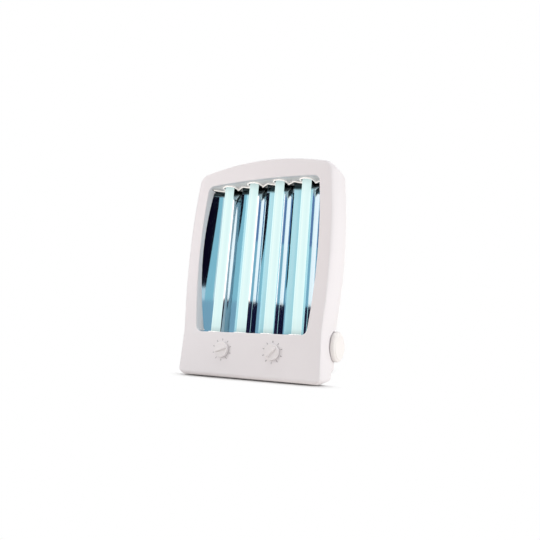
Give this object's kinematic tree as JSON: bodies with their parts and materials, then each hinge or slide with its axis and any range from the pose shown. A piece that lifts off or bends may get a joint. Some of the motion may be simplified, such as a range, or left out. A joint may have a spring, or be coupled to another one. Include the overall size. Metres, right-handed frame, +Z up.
{
  "type": "tanning lamp",
  "caption": "Table-top tanning lamp: white leaning housing with ultraviolet tubes before a mirror reflector, dials below the window, clamp knobs and a folding rear stand.",
  "frame": {"origin": "middle of the lamp's footprint box, on the table", "axes": "+X to the right as seen from the front, +Y to the back, +Z up; the window faces -Y"},
  "size_m": [0.2834, 0.1672, 0.3758],
  "materials": {
    "housing_white": "satin moulded off-white",
    "cover_white": "satin moulded off-white",
    "reflector_mirror": "polished sheet",
    "tube_glass": "coated glass, pale cyan",
    "cap_metal": "pressed caps",
    "pin_brass": "plain",
    "end_wall_white": "matt white",
    "holder_ivory": "matt ivory",
    "bracket_steel": "plain strip",
    "choke_iron": "stacked core",
    "choke_copper": "enamelled winding",
    "starter_white": "matt can",
    "control_dark": "matt black",
    "screw_steel": "plain",
    "foot_rubber": "matt",
    "gland_white": "matt",
    "mark_grey": "raised marks",
    "dial_white": "smooth",
    "stand_white": "satin",
    "washer_fibre": "matt",
    "clamp_white": "satin"
  },
  "bodies": {
    "housing": {"front_frame": "housing_white", "rear_cover": "cover_white", "reflector": "reflector_mirror", "uv_tube_1": "tube_glass", "uv_tube_2": "tube_glass", "uv_tube_3": "tube_glass", "uv_tube_4": "tube_glass", "tube_caps": "cap_metal", "tube_pins": "pin_brass", "upper_end_wall": "end_wall_white", "lower_end_wall": "end_wall_white", "upper_lampholders": "holder_ivory", "lower_lampholders": "holder_ivory", "upper_bracket": "bracket_steel", "lower_bracket": "bracket_steel", "choke_cores": "choke_iron", "choke_windings": "choke_copper", "starters": "starter_white", "starter_sockets": "holder_ivory", "terminal_block": "holder_ivory", "timer_movement": "control_dark", "selector_switch": "control_dark", "bracket_screws": "screw_steel", "cover_screws": "screw_steel", "front_feet": "foot_rubber", "cord_gland": "gland_white", "dial_marks": "mark_grey"},
    "stand": {"stand_leg": "stand_white", "foot_sleeves": "foot_rubber", "arm_nuts": "screw_steel", "friction_washers": "washer_fibre"},
    "right_clamp": {"right_clamp_knob": "clamp_white", "right_clamp_stud": "screw_steel"},
    "left_clamp": {"left_clamp_knob": "clamp_white", "left_clamp_stud": "screw_steel"},
    "timer_dial": {"timer_knob": "dial_white", "timer_shaft": "screw_steel"},
    "selector_dial": {"selector_knob": "dial_white", "selector_shaft": "screw_steel"}
  },
  "joints": [
    {"name": "stand_tilt", "type": "hinge", "parent": "housing", "child": "stand", "pos_m": [0, -0.01951, 0.05539], "axis": [1, 0, 0], "range_deg": [-15, 97]},
    {"name": "right_clamp_turn", "type": "hinge", "parent": "housing", "child": "right_clamp", "pos_m": [0.135, -0.01951, 0.05539], "axis": [1, 0, 0], "range_deg": [0, 360]},
    {"name": "left_clamp_turn", "type": "hinge", "parent": "housing", "child": "left_clamp", "pos_m": [-0.135, -0.01951, 0.05539], "axis": [-1, 0, 0], "range_deg": [0, 360]},
    {"name": "timer_turn", "type": "hinge", "parent": "housing", "child": "timer_dial", "pos_m": [-0.0473, -0.07431, 0.04749], "axis": [0, 0.9848, -0.1736], "range_deg": [0, 324]},
    {"name": "selector_turn", "type": "hinge", "parent": "housing", "child": "selector_dial", "pos_m": [0.0473, -0.07431, 0.04749], "axis": [0, 0.9848, -0.1736], "range_deg": [-36, 72]}
  ]
}
